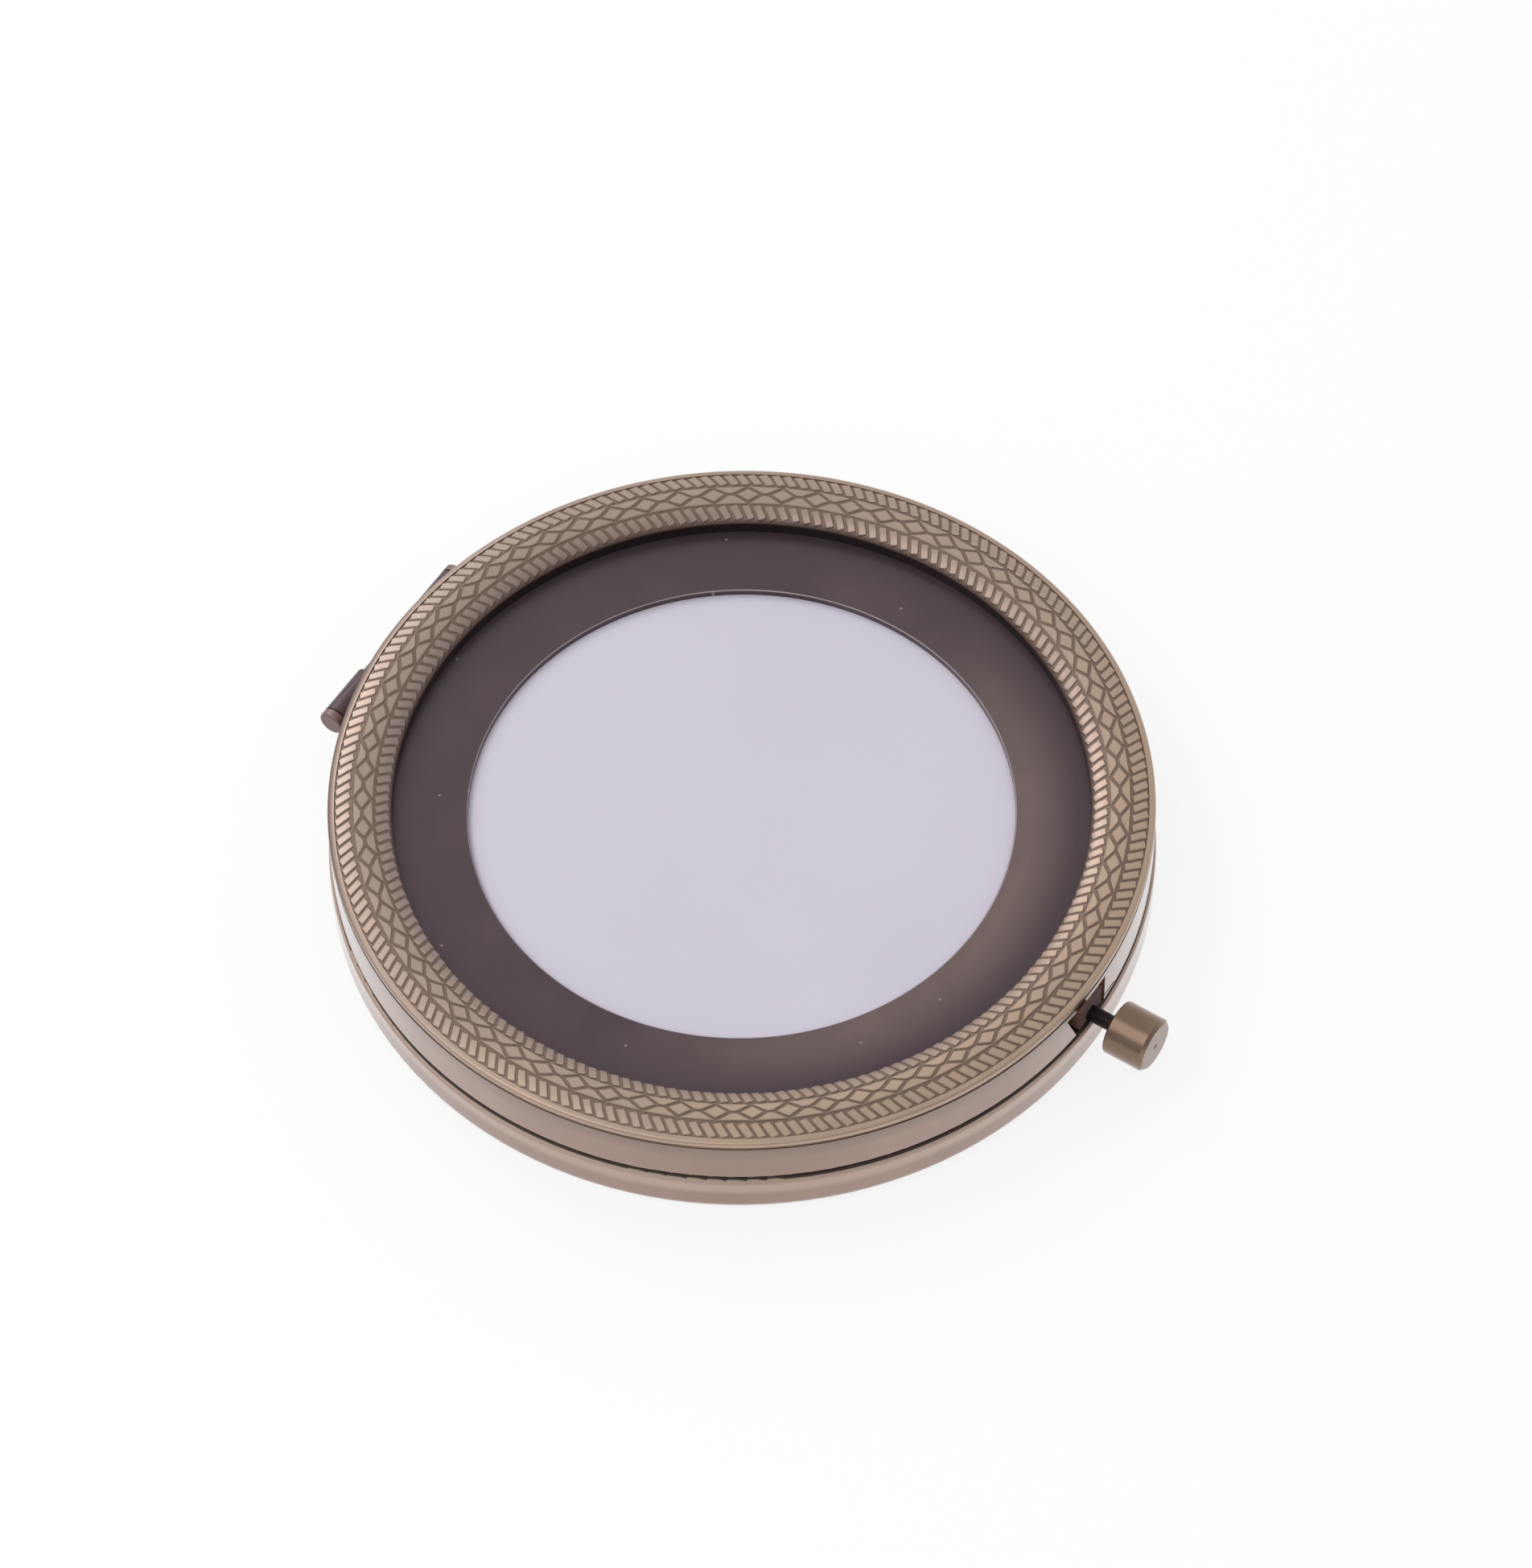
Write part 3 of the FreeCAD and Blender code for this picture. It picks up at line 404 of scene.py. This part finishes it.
def latch_brass():
    """Sheet brass, browned and matt, with a greyer front face."""
    cloud_size = 1.5
    front_start, front_end = BLOCK_FRONT + 0.02, BLOCK_FRONT + 0.06
    material, tree, shader = new_material("browned_brass")
    place = add(tree, "TexCoord").outputs["Object"]
    split = add(tree, "SeparateXYZ", links={0: place})
    front = add(tree, "MapRange", {"From Min": front_start * MM, "From Max": front_end * MM},
                {"Value": split.outputs["Y"]})
    clouds = add(tree, "TexNoise", {"Scale": 1 / (cloud_size * MM), "Detail": 3.0}, {"Vector": place})
    brown = add(tree, "Mix", {"A": linear("#9a7760"), "B": linear("#ae8a71")},
                {"Factor": clouds.outputs["Fac"]}, data_type="RGBA")
    colour = add(tree, "Mix", {"A": linear("#857070")},
                 {"Factor": front.outputs[0], "B": brown.outputs["Result"]}, data_type="RGBA")
    tree.links.new(colour.outputs["Result"], shader.inputs["Base Color"])
    shader.inputs["Roughness"].default_value = 0.7
    shader.inputs["Metallic"].default_value = 0.15
    shader.inputs["Specular IOR Level"].default_value = 0.05
    return material


def pale_sheet():
    """Pale lilac polypropylene sheet, calendered smooth.

    Matt and even, with the faintest clouds.
    """
    cloud_size = 20
    material, tree, shader = new_material("pale_polypropylene")
    place = add(tree, "TexCoord").outputs["Object"]
    clouds = add(tree, "TexNoise", {"Scale": 1 / (cloud_size * MM), "Detail": 2.0}, {"Vector": place})
    colour = add(tree, "Mix", {"A": linear("#d6d1de"), "B": linear("#dcd7e3")},
                 {"Factor": clouds.outputs["Fac"]}, data_type="RGBA")
    tree.links.new(colour.outputs["Result"], shader.inputs["Base Color"])
    shader.inputs["Roughness"].default_value = 0.6
    shader.inputs["Specular IOR Level"].default_value = 0.3
    return material


def silvered_glass():
    """Float glass silvered at the back: a clear, very slightly green reflection with a trace of haze."""
    haze_size = 25
    material, tree, shader = new_material("silvered_glass")
    place = add(tree, "TexCoord").outputs["Object"]
    haze = add(tree, "TexNoise", {"Scale": 1 / (haze_size * MM), "Detail": 3.0}, {"Vector": place})
    rough = add(tree, "MapRange", {"To Min": 0.01, "To Max": 0.03}, {"Value": haze.outputs["Fac"]})
    tree.links.new(rough.outputs[0], shader.inputs["Roughness"])
    shader.inputs["Base Color"].default_value = linear("#e4eae8")
    shader.inputs["Metallic"].default_value = 1.0
    return material


def foam_tape():
    """White foam tape: matt and fine-celled."""
    cell_size = 0.3
    material, tree, shader = new_material("white_foam_tape")
    place = add(tree, "TexCoord").outputs["Object"]
    cells = add(tree, "TexVoronoi", {"Scale": 1 / (cell_size * MM)}, {"Vector": place})
    bump = add(tree, "Bump", {"Strength": 0.3, "Distance": 0.05 * MM}, {"Height": cells.outputs["Distance"]})
    tree.links.new(bump.outputs[0], shader.inputs["Normal"])
    shader.inputs["Base Color"].default_value = linear("#dedbd2")
    shader.inputs["Roughness"].default_value = 0.9
    return material


def steel(name, light, dark, roughness):
    """Rolled sheet steel, bright or blackened: an even satin metal with a fine grain."""
    grain_size = 0.25
    material, tree, shader = new_material(name)
    place = add(tree, "TexCoord").outputs["Object"]
    grain = add(tree, "TexNoise", {"Scale": 1 / (grain_size * MM), "Detail": 3.0}, {"Vector": place})
    colour = add(tree, "Mix", {"A": linear(dark), "B": linear(light)}, {"Factor": grain.outputs["Fac"]},
                 data_type="RGBA")
    tree.links.new(colour.outputs["Result"], shader.inputs["Base Color"])
    shader.inputs["Roughness"].default_value = roughness
    shader.inputs["Metallic"].default_value = 0.9
    return material


def crown_height(radius):
    """The height of the ring's crown, which is the level of the braid's tops, at a radius."""
    across = (radius - RECESS_RADIUS) / (RIM_INSIDE - RECESS_RADIUS)
    chord = RECESS_EDGE_HEIGHT + across * (RIM_HEIGHT - RECESS_EDGE_HEIGHT)
    to_round = max(0.0, RECESS_RADIUS + RECESS_EDGE_ROUND - radius)
    drop = RECESS_EDGE_ROUND - math.sqrt(max(0.0, RECESS_EDGE_ROUND ** 2 - to_round ** 2))
    return chord + CROWN_RISE * 4 * across * (1 - across) - drop


def add_block(bm, corners):
    """Adds a closed block over a flat outline, with its upright and upper edges eased."""
    foot = bm.faces.new([bm.verts.new((along, outwards, -BLOCK_FOOT)) for along, outwards in corners])
    raised = bmesh.ops.extrude_face_region(bm, geom=[foot])["geom"]
    top = [part for part in raised if isinstance(part, bmesh.types.BMVert)]
    bmesh.ops.translate(bm, verts=top, vec=(0, 0, BLOCK_FOOT + GROOVE_DEPTH))
    edges = list(dict.fromkeys(edge for vertex in top for edge in vertex.link_edges))
    bmesh.ops.bevel(bm, geom=edges, offset=BLOCK_ROUND, offset_type="OFFSET", affect="EDGES",
                    segments=1, profile=0.5, material=-1, clamp_overlap=True)


def lay_on_crown(bm, row, relief, slices=2):
    """Bends flat blocks, x along the ring and y outwards, onto the crown, and repeats them round it."""
    inside, outside = row["inside"], row["outside"]
    middle = (inside + outside) / 2
    for index in range(1, slices + 1):
        cut = (outside - inside) * (index / (slices + 1) - 0.5)
        bmesh.ops.bisect_plane(bm, geom=bm.verts[:] + bm.edges[:] + bm.faces[:], plane_co=(0, cut, 0),
                               plane_no=(0, 1, 0))
    for vertex in bm.verts:
        along, outwards, height = vertex.co
        vertex[relief] = max(GROOVE, height / GROOVE_DEPTH)
        radius = middle + outwards
        angle = along / middle
        vertex.co = (radius * math.cos(angle), radius * math.sin(angle),
                     crown_height(radius) - GROOVE_DEPTH + height)
    count = row["count"]
    bmesh.ops.spin(bm, geom=bm.verts[:] + bm.edges[:] + bm.faces[:], cent=(0, 0, 0), axis=(0, 0, 1),
                   dvec=(0, 0, 0), angle=FULL_TURN * (count - 1) / count, steps=count - 1,
                   space=Matrix.Identity(4), use_merge=False, use_normal_flip=False, use_duplicate=True)
    # The die was cut by hand, so no two blocks are quite alike; the seed keeps the drift the same in each run
    noise.seed_set(HAND_CUT_SEED)
    for vertex in bm.verts:
        drift = noise.noise_vector(vertex.co / HAND_CUT_SPAN) * HAND_CUT
        vertex.co.x += drift.x
        vertex.co.y += drift.y


def make_piece(bm, name, material, body, sharp_angle=SHARP_ANGLE):
    """Makes a shaped bmesh, in millimetres, a piece that rides on a body."""
    bmesh.ops.recalc_face_normals(bm, faces=bm.faces)
    for face in bm.faces:
        face.smooth = True
    for edge in bm.edges:
        edge.smooth = edge.is_manifold and edge.calc_face_angle() < math.radians(sharp_angle)
    bmesh.ops.scale(bm, vec=(MM, MM, MM), verts=bm.verts)
    mesh = bpy.data.meshes.new(name)
    bm.to_mesh(mesh)
    bm.free()
    mesh.materials.append(material)
    piece = bpy.data.objects.new(name, mesh)
    bpy.context.scene.collection.objects.link(piece)
    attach(piece, body)
    return piece


def slanted_bars(name, row, material):
    """A row of short slanted bars."""
    bm = bmesh.new()
    relief = bm.verts.layers.float.new("relief")
    pitch = FULL_TURN * (row["outside"] + row["inside"]) / 2 / row["count"]
    half_width = pitch * row["share"] / 2
    end_drop = half_width * math.tan(math.radians(BAR_END_TILT))
    half_length = (row["outside"] - row["inside"]) / 2 - end_drop
    lean = half_length * math.tan(math.radians(row["slant"]))
    add_block(bm, [
        (side * half_width + end * lean, end * half_length - side * end_drop)
        for side, end in ((-1, -1), (1, -1), (1, 1), (-1, 1))
    ])
    lay_on_crown(bm, row, relief)
    make_piece(bm, name, material, "lid", FLAT_TOP_ANGLE)


def diamonds(name, row, material):
    """The middle row: diamonds, and a leaf on either side of each crossing between them."""
    bm = bmesh.new()
    relief = bm.verts.layers.float.new("relief")
    half_row = (row["outside"] - row["inside"]) / 2
    half_pitch = FULL_TURN * (row["outside"] + row["inside"]) / 4 / row["count"]
    add_block(bm, [
        (-DIAMOND_WIDTH / 2, 0),
        (0, -DIAMOND_HEIGHT / 2),
        (DIAMOND_WIDTH / 2, 0),
        (0, DIAMOND_HEIGHT / 2),
    ])
    # The lines that lean to the left are a little wider than the others
    slope = DIAMOND_HEIGHT / DIAMOND_WIDTH
    tip = half_pitch - DIAMOND_WIDTH / 2
    foot, end = CROSSING / 2, half_row
    leaf = [
        ((LEFT_LINE - end) / slope - tip, end),
        ((end - RIGHT_LINE) / slope + tip, end),
        ((foot - RIGHT_LINE) / slope + tip, foot),
        ((LEFT_LINE - foot) / slope - tip, foot),
    ]
    for side in (1, -1):
        add_block(bm, [(half_pitch + side * along, side * outwards) for along, outwards in leaf])
    lay_on_crown(bm, row, relief)
    make_piece(bm, name, material, "lid", FLAT_TOP_ANGLE)


def ring_body(material):
    """The ring under the braid: the dark floor of the engraving, the plain rim and the recess's wall."""
    bm = bmesh.new()
    relief = bm.verts.layers.float.new("relief")
    floor_start = RECESS_RADIUS + RECESS_EDGE_ROUND
    # Points crowd towards the recess, where the rounded edge is steepest
    floor_radii = [
        RECESS_RADIUS + RECESS_EDGE_ROUND * (index + FIRST_EDGE_POINT) ** 2 / EDGE_POINTS ** 2
        for index in range(EDGE_POINTS)
    ]
    floor_radii += [
        floor_start + (RIM_START - floor_start) * (index / FLOOR_STEPS)
        for index in range(FLOOR_STEPS + 1)
    ]
    # Each corner of the profile: radius, height, and what its relief is
    profile = [
        (SKIRT_RADIUS, RING_FOOT, GROOVE),
        # The recess's wall is painted nearly black as shade
        (RECESS_RADIUS, RING_FOOT, SHADED_WALL),
        (RECESS_RADIUS, RECESS_EDGE_HEIGHT - RECESS_EDGE_ROUND - GROOVE_DEPTH, SHADED_WALL),
    ]
    profile += [(radius, crown_height(radius) - GROOVE_DEPTH, GROOVE) for radius in floor_radii]
    profile.append((RIM_START + RIM_STEP, crown_height(RIM_START + RIM_STEP), BLOCK_TOP))
    for index in range(RIM_ARC_STEPS + 1):
        angle = math.pi / 2 * (1 - index / RIM_ARC_STEPS)
        profile.append((CASE_RADIUS - RIM_ROUND + RIM_ROUND * math.cos(angle),
                        RIM_HEIGHT - RIM_ROUND + RIM_ROUND * math.sin(angle), RIM))
    rim_foot = BAND_TOP + SHADOW_HEIGHT
    profile += [
        (CASE_RADIUS, rim_foot + RIM_CHAMFER, UNDERCUT),
        (CASE_RADIUS - RIM_CHAMFER, rim_foot, UNDERCUT),
        (SHADOW_RADIUS, rim_foot, UNDERCUT),
        (SHADOW_RADIUS, BAND_TOP, UNDERCUT),
        (SKIRT_RADIUS, BAND_TOP, UNDERCUT),
    ]
    corners = []
    for radius, height, place_relief in profile:
        corner = bm.verts.new((radius, 0, height))
        corner[relief] = place_relief
        corners.append(corner)
    edges = [bm.edges.new((corner, corners[index - 1])) for index, corner in enumerate(corners)]
    bmesh.ops.spin(bm, geom=corners + edges, cent=(0, 0, 0), axis=(0, 0, 1), dvec=(0, 0, 0),
                   angle=FULL_TURN, steps=RING_STEPS, space=Matrix.Identity(4), use_merge=True,
                   use_normal_flip=False, use_duplicate=False)
    ring = make_piece(bm, "braided_ring", material, "lid")
    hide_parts("lid_ring")


def bow_spring(material):
    """The bow of flat spring steel behind the latch, built at rest; the real one flattens as the button is
    pressed.
    """
    low, high = (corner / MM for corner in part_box("latch_spring"))
    middle = low.y + SPRING_RADIUS
    half_angle = math.asin(high.x / SPRING_RADIUS)
    inside = SPRING_RADIUS - SPRING_THICKNESS
    bm = bmesh.new()
    section = ((inside, low.z), (SPRING_RADIUS, low.z), (SPRING_RADIUS, high.z), (inside, high.z))
    corners = [
        bm.verts.new((-radius * math.sin(half_angle), middle - radius * math.cos(half_angle), height))
        for radius, height in section
    ]
    edges = [bm.edges.new((corner, corners[index - 1])) for index, corner in enumerate(corners)]
    bmesh.ops.spin(bm, geom=corners + edges, cent=(0, middle, 0), axis=(0, 0, 1), dvec=(0, 0, 0),
                   angle=2 * half_angle, steps=SPRING_STEPS, space=Matrix.Identity(4), use_merge=False,
                   use_normal_flip=False, use_duplicate=False)
    bmesh.ops.holes_fill(bm, edges=bm.edges, sides=4)
    spring = make_piece(bm, "bow_spring", material, "base")
    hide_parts("latch_spring")
    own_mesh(spring)


def dress(material, *names):
    """Gives CAD nodes their finish."""
    for name in names:
        mesh = nodes[name].data
        mesh.materials.clear()
        mesh.materials.append(material)


def pointing(heading, elevation):
    """The direction with a heading and an elevation in degrees."""
    heading, elevation = math.radians(heading), math.radians(elevation)
    return Vector((math.cos(heading) * math.cos(elevation), math.sin(heading) * math.cos(elevation),
                   math.sin(elevation)))


def studio():
    """A white floor that keeps a faint shadow, soft lamps and a backdrop lighter than the room in front."""
    scene = bpy.context.scene
    scene.view_settings.view_transform = "Standard"

    floor_mesh = bpy.data.meshes.new("floor")
    bm = bmesh.new()
    bmesh.ops.create_grid(bm, x_segments=1, y_segments=1, size=FLOOR_SIZE)
    bm.to_mesh(floor_mesh)
    bm.free()
    floor = bpy.data.objects.new("floor", floor_mesh)
    floor.location.z = cad_box[0].z - FLOOR_GAP
    scene.collection.objects.link(floor)
    paper, tree, shader = new_material("white_paper_floor")
    shader.inputs["Base Color"].default_value = linear("#7c7c7c")
    shader.inputs["Roughness"].default_value = 0.9
    shader.inputs["Specular IOR Level"].default_value = 0.0
    # The floor glows only where it is seen, straight, mirrored or through something clear, and adds no
    # light to matt faces
    path = add(tree, "LightPath")
    seen = add(tree, "Math", links={0: path.outputs["Is Camera Ray"], 1: path.outputs["Is Glossy Ray"]},
               operation="MAXIMUM")
    seen = add(tree, "Math", links={0: seen.outputs[0], 1: path.outputs["Is Transmission Ray"]},
               operation="MAXIMUM")
    glow = add(tree, "Math", {1: FLOOR_GLOW}, {0: seen.outputs[0]}, operation="MULTIPLY")
    shader.inputs["Emission Color"].default_value = (1, 1, 1, 1)
    tree.links.new(glow.outputs[0], shader.inputs["Emission Strength"])
    floor_mesh.materials.append(paper)

    world = bpy.data.worlds.new("pale_studio")
    world.use_nodes = True
    tree = world.node_tree
    background = tree.nodes["Background"]
    background.inputs["Color"].default_value = (1, 1, 1, 1)
    direction = add(tree, "TexCoord").outputs["Generated"]
    behind = math.radians(CAMERA_HEADING + BACKDROP_TURN)
    depth = add(tree, "VectorMath", {1: (math.cos(behind), math.sin(behind), 0)}, {0: direction},
                operation="DOT_PRODUCT")
    strength = add(tree, "MapRange", {"From Min": -1.0, "To Min": SKY_IN_FRONT, "To Max": SKY_BEHIND},
                   {"Value": depth.outputs["Value"]})
    tree.links.new(strength.outputs[0], background.inputs["Strength"])
    scene.world = world

    # Each lamp: its heading from the camera's own, elevation, distance and width in metres, and the light
    # that it throws on a level face, where 1 shows a colour as it is
    lamps = [
        ("back_left_softbox", -142, 38, 0.5, 0.26, 0.1),
        ("left_softbox", -72, 57, 0.7, 0.57, 0.16),
        ("front_softbox", -10, 48, 0.9, 0.5, 0.05),
    ]
    for name, turn, elevation, distance, width, share in lamps:
        towards = pointing(CAMERA_HEADING + turn, elevation)
        lamp = bpy.data.lights.new(name, "AREA")
        lamp.shape = "DISK"
        lamp.size = width
        lamp.energy = share * math.pi ** 2 * distance ** 2 / towards.z
        holder = bpy.data.objects.new(name, lamp)
        holder.location = towards * distance
        holder.rotation_euler = (-towards).to_track_quat("-Z", "Y").to_euler()
        scene.collection.objects.link(holder)


def camera():
    """The photograph's viewpoint, worked out from the ellipses of the case's circles."""
    # In pixels of the photograph, whose height is its longer side and so fills the sensor's width
    frame_height, focal_length, shift_right, shift_up = 1949, 9540, 30.2, 31.4
    target = Vector((0, 0, RING_FOOT * MM))
    back = pointing(CAMERA_HEADING, CAMERA_ELEVATION)
    lens = bpy.data.cameras.new("camera")
    lens.sensor_width = 36.0
    lens.lens = focal_length / frame_height * lens.sensor_width
    lens.shift_x = shift_right / frame_height
    lens.shift_y = shift_up / frame_height
    lens.clip_start, lens.clip_end = 0.01, 10
    holder = bpy.data.objects.new("camera", lens)
    upright = (-back).to_track_quat("-Z", "Y").to_matrix().to_4x4()
    roll = Matrix.Rotation(math.radians(CAMERA_ROLL), 4, "Z")
    holder.matrix_world = Matrix.Translation(target + back * CAMERA_DISTANCE) @ upright @ roll
    bpy.context.scene.collection.objects.link(holder)
    bpy.context.scene.camera = holder


# Pieces and finishes
braid_finish = braided_brass()
ring_body(braid_finish)
slanted_bars("braid_outer_bars", OUTER_ROW, braid_finish)
slanted_bars("braid_inner_bars", INNER_ROW, braid_finish)
diamonds("braid_diamonds", DIAMOND_ROW, braid_finish)

dress(aged_brass("satin_aged_brass", "#9f8275", "#927567", 0.24, 1.0, case_side=True, metal=0.95),
      "base_shell", "lid_band")
dress(aged_brass("rolled_aged_brass", "#a5887a", "#95786a", 0.34, 0.6),
      "base_mirror_frame", "lid_mirror_frame", "lid_keeper")
dress(aged_brass("turned_aged_brass", "#8d745f", "#7c6450", 0.29, 0.6, metal=0.9), "button_knob")
dress(blackened_brass("blackened_brass", "#7a6864", "#504247", 0.3, dust=0.45, window=True, metal=0.35),
      "lid_tray")
dress(blackened_brass("patinated_brass", "#665759", "#5c4e52", 0.4),
      "base_knuckle_left", "base_knuckle_right", "lid_knuckle")
# A painted highlight: the pin and its cap are lighter than the knuckles, where the pin's end catches light
dress(blackened_brass("patinated_brass_painted_highlight", "#947f7a", "#84706c", 0.4), "hinge_pin", "hinge_pin_cap")
dress(latch_brass(), "latch_plate")
dress(pale_sheet(), "backing_disc")
dress(silvered_glass(), "base_mirror_glass", "lid_mirror_glass")
dress(foam_tape(), "base_mirror_tape", "lid_mirror_tape")
dress(steel("black_oxide_steel", "#3a3031", "#292122", 0.4), "button_stem")
spring_finish = steel("spring_steel", "#a5a5a6", "#8f8f91", 0.3)
dress(spring_finish, "latch_guide")
bow_spring(spring_finish)

studio()
camera()
